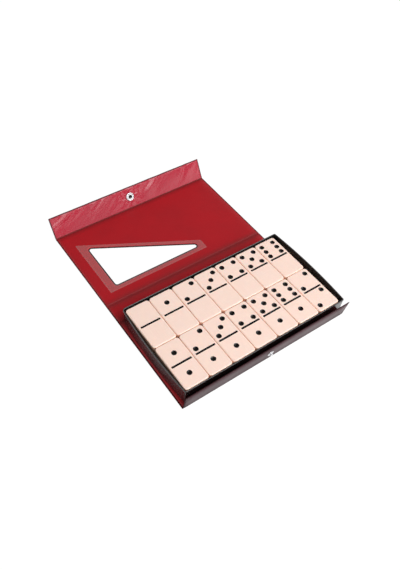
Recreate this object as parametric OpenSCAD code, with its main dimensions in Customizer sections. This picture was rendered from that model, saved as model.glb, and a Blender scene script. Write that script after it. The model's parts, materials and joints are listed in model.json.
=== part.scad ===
// Folding vinyl domino wallet with a windowed lid, a snap flap and a tray of 28 dominoes.
// Origin: middle of the bottom panel's underside, on the table. +X right, +Y to the spine.
// The wallet lies open: the lid flat behind the tray, the front panel and flap standing up.

/* [Dominoes] */
// Length of one domino
tile_l = 47.8; // [36:0.1:60]
// Width of one domino
tile_w = 24; // [20:0.1:30]
// Thickness of one domino
tile_h = 9.5; // [6:0.1:14]
// Gap between neighbouring dominoes
tile_gap = 0.24; // [0.1:0.02:0.6]
// Radius of a domino's four upright corners
tile_corner_r = 3; // [2:0.1:5]
// Radius of a domino's top and bottom edges
tile_edge_r = 1.2; // [0.4:0.1:1.9]
// Diameter of a pip at the face
pip_d = 4.9; // [3:0.1:5.6]
// Depth of a pip
pip_depth = 0.7; // [0.3:0.05:1.5]
// Distance of the outer pips from the middle pip, across and along
pip_step = 6.73; // [5.8:0.05:7.5]
// Distance of a middle pip from the dividing bar
pip_field = 11.4; // [10:0.1:13]
// Length of the dividing bar
bar_l = 20; // [12:0.5:20]
// Width of the dividing bar
bar_w = 1.8; // [0.8:0.1:2.2]
// Depth of the dividing bar
bar_depth = 0.4; // [0.2:0.05:1]

/* [Tray] */
// Thickness of the tray's walls
tray_wall = 0.7; // [0.5:0.05:1.5]
// Thickness of the tray's floor
tray_floor = 1; // [0.6:0.1:2]
// Room left over beside the dominoes, across the tray
tray_slack_x = 3.56; // [1:0.02:8]
// Room left over behind the dominoes
tray_slack_y = 1.4; // [0.6:0.1:6]
// Clearance of the dominoes from the left and front walls
tray_clear = 0.2; // [0.1:0.05:0.4]
// How far each wall leans out from floor to rim
tray_draft = 0.4; // [0:0.05:1.5]
// How far the side walls bow out at the middle of the rim
tray_bow = 2.1; // [0:0.1:3]
// How far the rolled rim stands out from the wall
rim_lip = 0.3; // [0.15:0.05:0.8]
// Height of the rolled rim
rim_lip_h = 1.2; // [0.8:0.1:2]
// Outer radius of the tray's four upright corners
tray_corner_r = 1.3; // [1.3:0.1:2.7]
// Radius between the tray's walls and floor
tray_foot_r = 1; // [0.5:0.1:1.2]
// Height of the rim above the top dominoes
rim_rise = 0.2; // [0:0.1:2]
// Place of the tray's middle on the bottom panel, across
tray_x = 0.7; // [-0.7:0.1:0.7]
// Place of the tray's middle on the bottom panel, towards the spine
tray_y = 0.2; // [-0.2:0.05:0.2]

/* [Wallet] */
// Thickness of each vinyl sheet
skin_t = 0.3; // [0.2:0.02:0.5]
// Thickness of the stiffener boards
board_t = 0.8; // [0.5:0.1:1.2]
// Free edge of the panels beyond the tray's rim, each side
side_margin = 0.3; // [0.3:0.1:6]
// Clearance of the closed spine and front panel from the tray, front and back added up
fold_clear = 1; // [0.8:0.1:4]
// Room between the rim and the closed lid
lid_clear = 0.6; // [0.4:0.1:3]
// How much further the lid reaches than the bottom panel
lid_reach = 0.4; // [0.3:0.1:3]
// Gap between the closed lid and the front panel's top edge
front_gap = 0.35; // [0.2:0.05:3]
// Length of the flap from its crease
flap_l = 22.5; // [18:0.5:22.5]
// How far the front panel leans out of upright
front_lean = 8.5; // [0:0.5:30]
// How far the flap stands up from the lid's plane
flap_rise = 60; // [5:1:80]
// Width of the welded border along a free edge
weld_border = 1.2; // [0.8:0.1:2.5]
// How far the red lining stays back from the black edge
lining_inset = 0.4; // [0.2:0.1:0.6]

/* [Window] */
// Left side of the opening from the lid's middle
window_left = -70.35; // [-76:0.05:-50]
// Right tip of the opening from the lid's middle
window_right = 26.15; // [0:0.05:70]
// Near side of the opening from the lid's first crease
window_near = 17.6; // [8:0.1:24]
// Reach of the opening's tall corner from the lid's first crease
window_far = 74.2; // [45:0.1:84]
// Radius of the opening's corners
window_r = 3.4; // [1.5:0.1:5]
// Overlap of the clear film at the left side
film_left = 8; // [3:0.5:12]
// Overlap of the clear film at the near side
film_near = 5; // [2:0.5:7]
// Overlap of the clear film beyond the opening's tall corner
film_far = 9.9; // [3:0.1:12]
// Overlap of the clear film beyond the opening's right tip
film_right = 6.4; // [3:0.1:12]
// Length of the clear film's short right side
film_tip = 11.6; // [6:0.1:14]
// Thickness of the clear film
film_t = 0.25; // [0.15:0.05:0.4]

/* [Snap] */
// Distance of the snap socket from the flap's crease
socket_s = 12.1; // [10:0.1:13]
// Diameter of the snap socket
socket_d = 9; // [7:0.1:9.5]
// Height of the snap socket
socket_h = 1.3; // [1:0.1:2]
// Diameter of the socket's mouth
mouth_d = 3.6; // [3:0.1:4.4]
// Clearance of the stud in the socket's mouth, all round
snap_clear = 0.3; // [0.2:0.05:0.5]
// Height of the stud above its base
stud_h = 1.5; // [1:0.1:1.8]
// Diameter of the stud's base
stud_base_d = 6.6; // [5.5:0.1:8]
// Diameter of the cap on the flap's outside
cap_d = 9.6; // [8:0.1:11]

/* [Hidden] */
$fn = 48;
COLUMNS = 7;
TILES = [
    [0, 0], [1, 0], [2, 0], [3, 0], [4, 0], [5, 0], [6, 0],
    [1, 1], [2, 1], [3, 1], [4, 1], [5, 1], [6, 1], [2, 2],
    [3, 2], [4, 2], [5, 2], [6, 2], [3, 3], [4, 3], [5, 3],
    [6, 3], [4, 4], [5, 4], [6, 4], [5, 5], [6, 5], [6, 6]];
CASE_NODES = [
    "bottom_outer_skin", "bottom_board", "bottom_lining",
    "front_outer_skin", "front_board", "front_lining",
    "spine_outer_skin", "spine_board", "spine_lining",
    "lid_outer_skin", "lid_board", "lid_lining", "window_film",
    "flap_outer_skin", "flap_lining",
    "snap_cap", "snap_socket", "snap_stud", "snap_stud_back", "tray"];
function tile_name(t) = str("tile_", t[0], "_", t[1]);

// The block of dominoes, seven across and two along
block_w = COLUMNS * tile_w + (COLUMNS - 1) * tile_gap;
block_l = 2 * tile_l + tile_gap;
panel_t = 2 * skin_t + board_t;
axis_z = panel_t / 2;

// The tray: inside at the floor, and outside at the rim
floor_hx = (block_w + tray_slack_x) / 2;
floor_hy = (block_l + tray_slack_y) / 2;
tray_over = tray_draft + tray_wall + rim_lip;
rim_hx = floor_hx + tray_over;
rim_hy = floor_hy + tray_over;
floor_z = panel_t + tray_floor;
block_top = floor_z + 2 * tile_h;
rim_z = block_top + rim_rise;
block_x = tray_x - floor_hx + tray_clear;
block_y = tray_y - floor_hy + tray_clear;

// The panels, each measured from crease to crease or from crease to free edge
case_w = 2 * (rim_hx + tray_bow + side_margin);
bottom_l = 2 * rim_hy + panel_t + fold_clear;
spine_l = rim_z + lid_clear;
lid_l = bottom_l + lid_reach;
front_l = spine_l - panel_t / 2 - front_gap;

// A crease is a thin web, with a round fold on the crease line
web_l = 1;
ramp_l = 0.5;
fold_gap = 0.5;
groove_l = web_l + ramp_l;
board_clear = 0.3;
border_l = weld_border + ramp_l;

// The snap's stud meets the socket when the flap hangs in front of the closed front panel
flap_tilt = 12.5;
barrel_d = mouth_d + 0.8;
barrel_wall = 0.35;
fit = 0.05;
stud_d = mouth_d - 2 * snap_clear;
stud_s = spine_l - socket_s * cos(flap_tilt) - (skin_t + socket_h / 2) * sin(flap_tilt);

// Half thickness of a panel along its length, from an edge of one of three kinds:
// "fold" carries the round fold, "leaf" starts beside one, and "free" is a welded border
function rise(kind, inset) =
    kind == "fold" ? [[0, skin_t], [web_l, skin_t], [groove_l, axis_z]] :
    kind == "leaf" ? [[fold_gap, skin_t], [web_l, skin_t], [groove_l, axis_z]] :
    [[inset, skin_t], [weld_border, skin_t], [border_l, axis_z]];
function board_start(kind) = board_clear + (kind == "free" ? border_l : groove_l);
function backwards(list) = [for (i = [len(list) - 1:-1:0]) list[i]];
function mirrored(list, length) = backwards([for (p = list) [length - p[0], p[1]]]);
function closed_profile(top) = concat(top, backwards([for (p = top) [p[0], -p[1]]]));
function panel_profile(length, start, end, inset) =
    closed_profile(concat(rise(start, inset), mirrored(rise(end, inset), length)));

// A panel's whole thickness, its length along +Y from the crease at the origin
module panel_form(length, start, end, inset) {
    intersection() {
        rotate([90, 0, 90])
            linear_extrude(case_w - 2 * inset, center = true)
                polygon(panel_profile(length, start, end, inset));
        translate([-case_w / 2, length, 0])
            rotate([90, 0, 0])
                linear_extrude(length)
                    polygon(panel_profile(case_w, "free", "free", inset));
    }
    if (start == "fold") fold_line(0);
    if (end == "fold") fold_line(length);
}

module fold_line(at) {
    translate([0, at, 0])
        rotate([0, 90, 0])
            cylinder(r = skin_t, h = case_w - 2 * lining_inset, center = true);
}

// The half space over or under a panel's middle plane
module half_space(side, length) {
    translate([-case_w, -10, side > 0 ? 0 : -10])
        cube([2 * case_w, length + 20, 10]);
}

module board_form(length, start, end) {
    low = board_start(start);
    across = case_w - 2 * board_start("free");
    translate([-across / 2, low, -board_t / 2])
        cube([across, length - low - board_start(end), board_t]);
}

module outer_skin(length, start, end) {
    difference() {
        intersection() {
            panel_form(length, start, end, 0);
            half_space(-1, length);
        }
        board_form(length, start, end);
    }
}

module lining(length, start, end) {
    difference() {
        intersection() {
            panel_form(length, start, end, lining_inset);
            half_space(1, length);
        }
        board_form(length, start, end);
    }
}

// Places of the panels
module at_front() {
    translate([0, -bottom_l / 2, axis_z])
        rotate([front_lean - 90, 0, 0])
            rotate([0, 0, 180])
                children();
}
module at_bottom() translate([0, -bottom_l / 2, axis_z]) children();
module at_spine() translate([0, bottom_l / 2, axis_z]) children();
module at_lid() translate([0, bottom_l / 2 + spine_l, axis_z]) children();
module at_flap() {
    translate([0, bottom_l / 2 + spine_l + lid_l, axis_z])
        rotate([flap_rise, 0, 0])
            children();
}

// Bottom panel
module bottom_outer_skin() color("#2b2627") at_bottom() outer_skin(bottom_l, "fold", "fold");
module bottom_board() color("#9a8c78") at_bottom() board_form(bottom_l, "fold", "fold");
module bottom_lining() color("#a82028") at_bottom() lining(bottom_l, "fold", "fold");

// Spine
module spine_outer_skin() color("#2b2627") at_spine() outer_skin(spine_l, "leaf", "fold");
module spine_board() color("#9a8c78") at_spine() board_form(spine_l, "leaf", "fold");
module spine_lining() color("#a82028") at_spine() lining(spine_l, "leaf", "fold");

// Lid with its three-cornered window
window_centres = [
    [window_left + window_r, window_near + window_r],
    [window_right - window_r, window_near + window_r],
    [window_left + window_r, window_far - window_r]];

// A polygon of straight sides with every corner rounded by an arc round its own centre
module rounded_outline(centres, r) {
    count = len(centres);
    polygon(centres);
    for (i = [0:count - 1]) {
        a = centres[i];
        b = centres[(i + 1) % count];
        n = r * [b[1] - a[1], a[0] - b[0]] / norm(b - a);
        translate(a) circle(r);
        polygon([a, b, b + n, a + n]);
    }
}

module window_cut(grow) {
    translate([0, 0, -panel_t])
        linear_extrude(2 * panel_t)
            rounded_outline(window_centres, window_r + grow);
}

module lid_outer_skin() {
    color("#2b2627")
        at_lid()
            difference() {
                outer_skin(lid_l, "leaf", "fold");
                window_cut(0);
            }
}

module lid_board() {
    color("#9a8c78")
        at_lid()
            difference() {
                board_form(lid_l, "leaf", "fold");
                window_cut(0);
            }
}

module lid_lining() {
    color("#a82028")
        at_lid()
            difference() {
                lining(lid_l, "leaf", "fold");
                window_cut(0);
            }
}

film_outline = [
    [window_left - film_left, window_near - film_near],
    [window_right + film_right, window_near - film_near],
    [window_right + film_right, window_near - film_near + film_tip],
    [window_left - film_left, window_far + film_far]];

module window_film() {
    color([0.9, 0.92, 0.95, 0.35])
        at_lid()
            translate([0, 0, axis_z])
                linear_extrude(film_t)
                    polygon(film_outline);
}

// Flap: two sheets with no board, holed for the snap
module flap_sheet(side, inset) {
    difference() {
        translate([inset - case_w / 2, fold_gap, side > 0 ? 0 : -skin_t])
            cube([case_w - 2 * inset, flap_l - fold_gap - inset, skin_t]);
        translate([0, socket_s, -1])
            cylinder(d = barrel_d + 2 * fit, h = 2);
    }
}
module flap_outer_skin() color("#2b2627") at_flap() flap_sheet(-1, 0);
module flap_lining() color("#b8323c") at_flap() flap_sheet(1, lining_inset);

// Snap on the flap: the cap's barrel passes through both sheets into the socket
module at_socket() at_flap() translate([0, socket_s, 0]) children();

module snap_cap() {
    rim = 0.35;
    dome = 0.55;
    sunk = 0.1;
    dome_r = (pow(cap_d / 2, 2) + dome * dome) / (2 * dome);
    color("#c8c8cc")
        at_socket()
            rotate_extrude() {
                translate([0, -skin_t - rim])
                    square([cap_d / 2, rim]);
                intersection() {
                    translate([0, dome_r - skin_t - rim - dome])
                        circle(dome_r, $fn = 360);
                    translate([0, -skin_t - rim - dome])
                        square([cap_d / 2 - sunk, dome + sunk]);
                }
                translate([barrel_d / 2 - barrel_wall, -skin_t - sunk])
                    square([barrel_wall, sunk + 2 * skin_t + socket_h / 2]);
            }
}

module snap_socket() {
    bead = socket_h / 2;
    lip = 0.3;
    color("#d0d0d4")
        at_socket()
            translate([0, 0, skin_t])
                difference() {
                    rotate_extrude() {
                        translate([mouth_d / 2, 0])
                            square([socket_d / 2 - bead - mouth_d / 2, socket_h - lip]);
                        translate([socket_d / 2 - bead, bead])
                            circle(bead);
                        translate([mouth_d / 2 + lip, socket_h - lip])
                            circle(lip);
                        translate([socket_d / 2 - bead, 0])
                            square([bead * 0.8, bead]);
                    }
                    translate([0, 0, -1])
                        cylinder(d = barrel_d + 2 * fit, h = 1 + socket_h / 2 + fit);
                }
}

// Front panel, holed for the stud's shank
module front_cut() {
    translate([0, stud_s, -panel_t])
        cylinder(d = stud_d + 2 * fit, h = 2 * panel_t);
}
module front_outer_skin() {
    color("#2b2627")
        at_front()
            difference() {
                outer_skin(front_l, "leaf", "free");
                front_cut();
            }
}
module front_board() {
    color("#9a8c78")
        at_front()
            difference() {
                board_form(front_l, "leaf", "free");
                front_cut();
            }
}
module front_lining() {
    color("#a82028")
        at_front()
            difference() {
                lining(front_l, "leaf", "free");
                front_cut();
            }
}

// Stud on the front panel: its head stands out in front, its shank passes through to the back
stud_base_t = 0.3;
shank_bore = 1.2;
module at_stud() at_front() translate([0, stud_s, 0]) children();

module snap_stud() {
    neck = 0.3;
    head = stud_d / 2;
    color("#c8c8cc")
        at_stud()
            rotate([180, 0, 0])
                translate([0, 0, axis_z])
                    difference() {
                        rotate_extrude() {
                            square([stud_base_d / 2 - stud_base_t / 2, stud_base_t]);
                            translate([stud_base_d / 2 - stud_base_t / 2, stud_base_t / 2])
                                circle(stud_base_t / 2);
                            square([head - neck, stud_base_t + stud_h]);
                            translate([0, stud_base_t + neck])
                                square([head - neck, stud_h - neck]);
                            translate([head - neck, stud_base_t + stud_h - neck])
                                circle(neck);
                        }
                        translate([0, 0, -1])
                            cylinder(d = shank_bore, h = 1 + stud_base_t);
                    }
}

module snap_stud_back() {
    flange = 0.3;
    color("#c8c8cc")
        at_stud()
            union() {
                translate([0, 0, -axis_z])
                    cylinder(d = stud_d, h = panel_t);
                translate([0, 0, axis_z])
                    cylinder(d = stud_base_d, h = flange);
                translate([0, 0, -axis_z - stud_base_t + fit])
                    cylinder(d = shank_bore - 2 * fit, h = stud_base_t);
            }
}

// Tray: one thin shell lofted through rings, with drafted walls, bowed sides and a rolled rim
corner_steps = 6;
side_steps = 8;
fillet_steps = 3;

function arc(cx, cy, r, from) =
    [for (i = [0:corner_steps]) let (a = from + 90 * i / corner_steps)
        [cx + r * cos(a), cy + r * sin(a)]];
function bowed_side(hx, reach, bow, sign) =
    [for (i = [1:side_steps - 1]) let (t = 2 * i / side_steps - 1)
        [sign * (hx + bow * (1 - t * t)), sign * reach * t]];
function tray_ring(hx, hy, r, bow) = concat(
    arc(hx - r, r - hy, r, -90),
    bowed_side(hx, hy - r, bow, 1),
    arc(hx - r, hy - r, r, 0),
    arc(r - hx, hy - r, r, 90),
    bowed_side(hx, hy - r, bow, -1),
    arc(r - hx, r - hy, r, 180));

// How far up the wall a height is, from 0 at the floor to 1 at the rim
function up_wall(z) = (z - panel_t) / (rim_z - panel_t);

// One ring at height z, set in from the outer wall face
function ring_at(z, inset) = let (
    d = tray_draft * up_wall(z) - inset,
    hx = floor_hx + tray_wall + d,
    hy = floor_hy + tray_wall + d)
    [for (p = tray_ring(hx, hy, max(tray_corner_r - inset, 0.6), tray_bow * up_wall(z)))
        [p[0], p[1], z]];

function quarter(i) = 90 * i / fillet_steps;
foot_out = tray_foot_r + tray_floor / 2;
bead_r = (tray_wall + rim_lip) / 2;
wall_stations = concat(
    [for (i = [0:fillet_steps]) let (a = quarter(i))
        [panel_t + foot_out * (1 - cos(a)), foot_out * (1 - sin(a))]],
    [[rim_z - rim_lip_h - rim_lip, 0], [rim_z - rim_lip_h, -rim_lip]],
    [for (i = [0:2 * fillet_steps]) let (a = quarter(i))
        [rim_z - bead_r + bead_r * sin(a), bead_r - rim_lip - bead_r * cos(a)]],
    [for (i = [0:fillet_steps]) let (a = quarter(i))
        [floor_z + tray_foot_r * (1 - sin(a)), tray_wall + tray_foot_r * (1 - cos(a))]]);

module tray() {
    rings = [for (s = wall_stations) ring_at(s[0], s[1])];
    n = len(rings[0]);
    last = len(rings) - 1;
    points = [for (ring = rings) each ring];
    sides = [for (k = [0:last - 1], i = [0:n - 1]) let (j = (i + 1) % n)
        each [[k * n + i, (k + 1) * n + j, k * n + j],
              [k * n + i, (k + 1) * n + i, (k + 1) * n + j]]];
    under = [for (i = [0:n - 1]) i];
    inside = [for (i = [n - 1:-1:0]) last * n + i];
    color("#1c1a1a")
        translate([tray_x, tray_y, 0])
            polyhedron(points, concat(sides, [under, inside]), convexity = 4);
}

// A domino: a block with rolled edges and round corners, with pips and a dividing bar sunk in its face
module rounded_rectangle(w, l, r) {
    square([w - 2 * r, l], center = true);
    square([w, l - 2 * r], center = true);
    for (x = [-1, 1], y = [-1, 1])
        translate([x * (w / 2 - r), y * (l / 2 - r)])
            circle(r);
}

module tile_corner() {
    rotate_extrude(angle = 90)
        intersection() {
            rounded_rectangle(2 * tile_corner_r, tile_h, tile_edge_r);
            translate([0, -tile_h])
                square([2 * tile_corner_r, 2 * tile_h]);
        }
}

module tile_block() {
    inner_w = tile_w - 2 * tile_corner_r;
    inner_l = tile_l - 2 * tile_corner_r;
    translate([0, 0, tile_h / 2]) {
        rotate([90, 0, 90])
            linear_extrude(inner_w, center = true)
                rounded_rectangle(tile_l, tile_h, tile_edge_r);
        rotate([90, 0, 0])
            linear_extrude(inner_l, center = true)
                rounded_rectangle(tile_w, tile_h, tile_edge_r);
        for (half = [0, 180])
            rotate([0, 0, half]) {
                translate([inner_w / 2, inner_l / 2, 0])
                    tile_corner();
                translate([-inner_w / 2, inner_l / 2, 0])
                    rotate([0, 0, 90])
                        tile_corner();
            }
    }
}

// Pips of one half as steps from its middle
function pips(n) = concat(
    n % 2 == 1 ? [[0, 0]] : [],
    n > 1 ? [[1, 1], [-1, -1]] : [],
    n > 3 ? [[1, -1], [-1, 1]] : [],
    n == 6 ? [[1, 0], [-1, 0]] : []);

module pip_cuts(n) {
    r = (pow(pip_d / 2, 2) + pip_depth * pip_depth) / (2 * pip_depth);
    for (p = pips(n))
        translate([p[0] * pip_step, p[1] * pip_step, r - pip_depth])
            sphere(r);
}

module tile(far, near) {
    difference() {
        tile_block();
        translate([0, pip_field, tile_h]) pip_cuts(far);
        translate([0, -pip_field, tile_h]) pip_cuts(near);
        translate([0, 0, tile_h - bar_depth])
            linear_extrude(2 * bar_depth)
                rounded_rectangle(bar_l, bar_w, bar_w / 3);
    }
}

// The set lies in two layers of two rows: the first fourteen on top, far row first
module tile_in_tray(i) {
    across = (i % COLUMNS + 0.5) * tile_w + (i % COLUMNS) * tile_gap;
    row = floor(i / COLUMNS) % 2;
    layer = i < 2 * COLUMNS ? 1 : 0;
    along = tile_l / 2 + (1 - row) * (tile_l + tile_gap);
    color("#fcdcd0")
        translate([block_x + across, block_y + along, floor_z + layer * tile_h])
            tile(TILES[i][0], TILES[i][1]);
}

bottom_outer_skin();
bottom_board();
bottom_lining();
front_outer_skin();
front_board();
front_lining();
spine_outer_skin();
spine_board();
spine_lining();
lid_outer_skin();
lid_board();
lid_lining();
window_film();
flap_outer_skin();
flap_lining();
snap_cap();
snap_socket();
snap_stud();
snap_stud_back();
tray();
for (i = [0:len(TILES) - 1])
    tile_in_tray(i);
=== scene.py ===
"""Folding vinyl domino wallet: a tray of dominoes in a red and black case with a windowed lid."""

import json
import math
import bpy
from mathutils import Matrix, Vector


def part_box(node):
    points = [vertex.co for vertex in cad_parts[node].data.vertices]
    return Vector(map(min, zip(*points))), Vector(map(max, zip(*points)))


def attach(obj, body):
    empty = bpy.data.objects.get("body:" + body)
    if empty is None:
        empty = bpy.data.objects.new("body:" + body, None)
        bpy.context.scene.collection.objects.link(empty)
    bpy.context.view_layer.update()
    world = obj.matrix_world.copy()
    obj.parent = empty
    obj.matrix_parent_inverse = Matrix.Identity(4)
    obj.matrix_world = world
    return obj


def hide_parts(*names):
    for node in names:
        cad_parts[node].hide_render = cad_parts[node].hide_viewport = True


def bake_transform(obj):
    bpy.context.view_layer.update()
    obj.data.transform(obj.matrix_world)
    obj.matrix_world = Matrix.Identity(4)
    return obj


bl_info = {
    "name": "Domino Wallet",
    "version": (1, 0, 0),
    "blender": (4, 5, 0),
    "location": "View3D > Sidebar > Dominoes",
    "description": "Builds a vinyl wallet with a windowed lid, a snap flap and a tray of dominoes",
    "category": "Object",
}

from collections import namedtuple
from functools import lru_cache

import bpy
from bpy.props import FloatProperty, FloatVectorProperty, PointerProperty
from mathutils import Matrix, Vector, noise
from mathutils.geometry import delaunay_2d_cdt

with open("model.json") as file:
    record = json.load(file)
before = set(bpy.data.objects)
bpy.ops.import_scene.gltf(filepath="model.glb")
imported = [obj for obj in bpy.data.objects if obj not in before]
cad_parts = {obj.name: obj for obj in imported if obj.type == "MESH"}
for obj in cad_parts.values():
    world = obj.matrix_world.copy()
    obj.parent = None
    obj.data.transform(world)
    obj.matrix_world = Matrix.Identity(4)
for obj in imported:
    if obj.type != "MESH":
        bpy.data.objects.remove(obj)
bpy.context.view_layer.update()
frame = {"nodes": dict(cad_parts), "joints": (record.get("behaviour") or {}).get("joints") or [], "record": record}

MM = 0.001
# Name of the value that a mesh carries at its points, for painted shade and highlights, dark edge lines and hazy
# places
EDGE_MASK = "edge"

HINGES = {j["name"]: Vector(j["pos_m"]) for j in frame["joints"] if j["type"] == "hinge"}
TILE_NODES = sorted(n for n in frame["nodes"] if n.startswith("tile_"))
SLOT_COLOURS = {m["slot"]: m["base_color"] for m in frame["record"]["materials"]}


@lru_cache(maxsize=None)
def node_box(node):
    """Lowest and highest corner of a node's box."""
    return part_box(node)


def node_size(node):
    """Lengths of a node's box along X, Y and Z."""
    low, high = node_box(node)
    return high - low


def node_middle(node):
    """Middle of a node's box."""
    low, high = node_box(node)
    return (low + high) / 2


def slot_colour(slot):
    """Base colour of one of the part's finishes."""
    return tuple(SLOT_COLOURS[slot][:3])


def size_property(name, description, millimetres, least=0.0):
    """A length with its default in metres."""
    return FloatProperty(name=name, description=description, default=millimetres * MM,
                         min=least, unit="LENGTH", precision=5)


def angle_property(name, description, degrees):
    """An angle with its default in radians."""
    return FloatProperty(name=name, description=description, default=math.radians(degrees),
                         subtype="ANGLE")


def power_property(name, description, watts):
    """A lamp's power."""
    return FloatProperty(name=name, description=description, default=watts, unit="POWER")


def colour_property(name, description, colour):
    """A linear colour."""
    return FloatVectorProperty(name=name, description=description, default=colour,
                               subtype="COLOR", size=3, min=0.0, max=1.0)


class DominoSettings(bpy.types.PropertyGroup):
    """Sizes and colours of one domino"""

    corner_radius: size_property("Corner radius", "Radius of the four upright corners", 3.0)
    edge_radius: size_property("Edge radius", "Radius of the rolled top and bottom edges", 1.2)
    pip_diameter: size_property("Pip diameter", "Width of a pip at the face", 4.95)
    pip_depth: size_property("Pip depth", "Depth of a pip's hollow", 0.7)
    pip_step: size_property("Pip step", "Distance of an outer pip from the middle one", 6.73)
    pip_field: size_property("Pip field", "Distance of a half's middle from the bar", 11.4)
    bar_length: size_property("Bar length", "Length of the dividing bar", 20.0)
    bar_width: size_property("Bar width", "Width of the dividing bar", 2.0)
    bar_depth: size_property("Bar depth", "Depth of the dividing bar", 0.4)
    resin: colour_property("Resin", "Colour of the domino", slot_colour("domino_resin"))
    # Painted shade: a warmer, darker colour laid on the sides for the shade in the gaps between dominoes
    painted_gap_shade: colour_property("Resin in gaps", "Warmer colour of the sides", (0.90, 0.56, 0.40))
    paint: colour_property("Pip paint", "Colour in the pips and the bar", (0.004, 0.003, 0.003))


class TraySettings(bpy.types.PropertyGroup):
    """Sizes and colour of the moulded tray"""

    wall: size_property("Wall", "Thickness of the walls", 0.7)
    floor: size_property("Floor", "Thickness of the floor", 1.0)
    draft: size_property("Draft", "How far a wall leans out from floor to rim", 0.4)
    bow: size_property("Bow", "How far the side walls bow out at the middle of the rim", 2.1)
    foot_bow: size_property("Foot bow", "How far they bow out at the middle of the foot", 1.9)
    lip: size_property("Lip", "How far the rolled rim stands out", 0.3)
    lip_height: size_property("Lip height", "Height of the rolled rim", 1.2)
    corner_radius: size_property("Corner radius", "Outer radius of the upright corners", 1.3)
    soft_corner: size_property("Soft corner", "Outer radius of the back left corner", 3.2)
    foot_radius: size_property("Foot radius", "Radius between walls and floor", 1.0)
    plastic: colour_property("Plastic", "Colour of the tray", (0.010, 0.009, 0.009))


class WalletSettings(bpy.types.PropertyGroup):
    """Sizes and colours of the vinyl case"""

    sheet: size_property("Sheet", "Thickness of each vinyl sheet", 0.3)
    panel: size_property("Panel", "Thickness of a panel with its board", 1.4)
    web: size_property("Web", "Length of the thin web beside a crease", 1.0)
    web_ramp: size_property("Web ramp", "Length over which a web rises to its panel", 0.8)
    border: size_property("Border", "Width of the welded border of a free edge", 1.45)
    border_ramp: size_property("Border ramp", "Length over which a border rises", 0.55)
    lining_inset: size_property("Lining inset", "How far the red sheet stays back", 0.3)
    front_lean: angle_property("Front lean", "Lean of the front panel out of upright", 8.5)
    flap_rise: angle_property("Flap rise", "Angle of the flap above the lid", 60.0)
    wrinkle: size_property("Wrinkle", "Height of the flap's gentle waves", 0.35)
    pucker: size_property("Pucker", "Height of the puckers round the snap", 0.3)
    red: colour_property("Red vinyl", "Colour of the lining", (0.42, 0.010, 0.016))
    black: colour_property("Black vinyl", "Colour of the outside", (0.068, 0.030, 0.036))
    board: colour_property("Board", "Colour of the stiffener board", slot_colour("greyboard"))


class WindowSettings(bpy.types.PropertyGroup):
    """Places of the window's corners, from the lid's middle and its first crease"""

    left: size_property("Left", "Left side of the opening", -70.35, least=-1.0)
    right: size_property("Right", "Right tip of the opening", 26.15)
    near: size_property("Near", "Near side of the opening", 17.6)
    far: size_property("Far", "Reach of the opening's tall corner", 74.2)
    radius: size_property("Radius", "Radius of the opening's corners", 3.4)
    black_ledge: size_property("Black ledge", "How far the black sheet shows past the red", 1.2)
    film_radius: size_property("Film corner", "Radius of the film's corners", 0.6)
    film: colour_property("Film", "Colour of the clear film", (0.97, 0.95, 0.95))


class SnapSettings(bpy.types.PropertyGroup):
    """Sizes of the snap"""

    mouth: size_property("Mouth", "Diameter of the socket's mouth", 3.6)
    hole: size_property("Hole", "Radius of the hole in the flap's sheets under the socket", 2.3)


class StageSettings(bpy.types.PropertyGroup):
    """Camera and light"""

    camera_place: FloatVectorProperty(name="Camera place", description="Place of the camera",
                                      default=(-0.23627, -0.24339, 0.44792), subtype="TRANSLATION",
                                      unit="LENGTH", precision=5)
    azimuth: angle_property("Azimuth", "View direction, from +Y towards +X", 38.69)
    elevation: angle_property("Elevation", "How far the camera looks down", 50.03)
    roll: angle_property("Roll", "Turn of the camera round its view direction", 4.614)
    lens: FloatProperty(name="Lens", description="Focal length on a 36 mm high sensor, in mm",
                        default=38.366, subtype="NONE")
    key_power: power_property("Key light", "Power of the large soft light", 22.4)
    fill_power: power_property("Fill light", "Power of the small soft light", 1.8)
    strip_power: power_property("Strip light", "Power of the low strip in front", 1.6)


class CaseSettings(bpy.types.PropertyGroup):
    """Everything that can be set on the domino wallet"""

    domino: PointerProperty(type=DominoSettings)
    tray: PointerProperty(type=TraySettings)
    wallet: PointerProperty(type=WalletSettings)
    window: PointerProperty(type=WindowSettings)
    snap: PointerProperty(type=SnapSettings)
    stage: PointerProperty(type=StageSettings)


def settings():
    """The settings of the open scene."""
    return bpy.context.scene.domino_case


def smoothstep(t):
    """0 below 0, 1 above 1, and a smooth rise between."""
    t = min(max(t, 0.0), 1.0)
    return t * t * (3.0 - 2.0 * t)


def ramp(value, start, length):
    """Smooth rise that begins at start and takes length."""
    return smoothstep((value - start) / length)


# Node building

def feed(tree, node, inputs):
    """Sets or links a node's inputs, by their names or numbers."""
    for key, value in inputs.items():
        if isinstance(value, bpy.types.NodeSocket):
            tree.links.new(value, node.inputs[key])
        else:
            node.inputs[key].default_value = value


def add_node(tree, kind, inputs=None, **values):
    """A node with its settings, and with each input set or linked."""
    made = tree.nodes.new(kind)
    for name, value in values.items():
        setattr(made, name, value)
    feed(tree, made, inputs or {})
    return made


def opaque(colour):
    """A colour with an alpha of one."""
    return (*tuple(colour)[:3], 1.0)


# Places of a colour mix's sockets, whose names are shared by its other kinds
MIX_FACTOR, MIX_FIRST, MIX_SECOND, MIX_RESULT = 0, 6, 7, 2


def mixed(tree, factor, first, second):
    """The mix of two colours, as a socket."""
    made = add_node(tree, "ShaderNodeMix",
                    {MIX_FACTOR: factor, MIX_FIRST: first, MIX_SECOND: second}, data_type="RGBA")
    return made.outputs[MIX_RESULT]


def tinted(tree, colour, mask, share, tint):
    """A colour with up to a share of a tint, where a mask is one."""
    return mixed(tree, computed(tree, "MULTIPLY", mask, share), colour, opaque(tint))


def computed(tree, operation, first, second=0.0, third=0.0):
    """A math node's result, as a socket."""
    made = add_node(tree, "ShaderNodeMath", {0: first, 1: second, 2: third}, operation=operation)
    return made.outputs[0]


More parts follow.
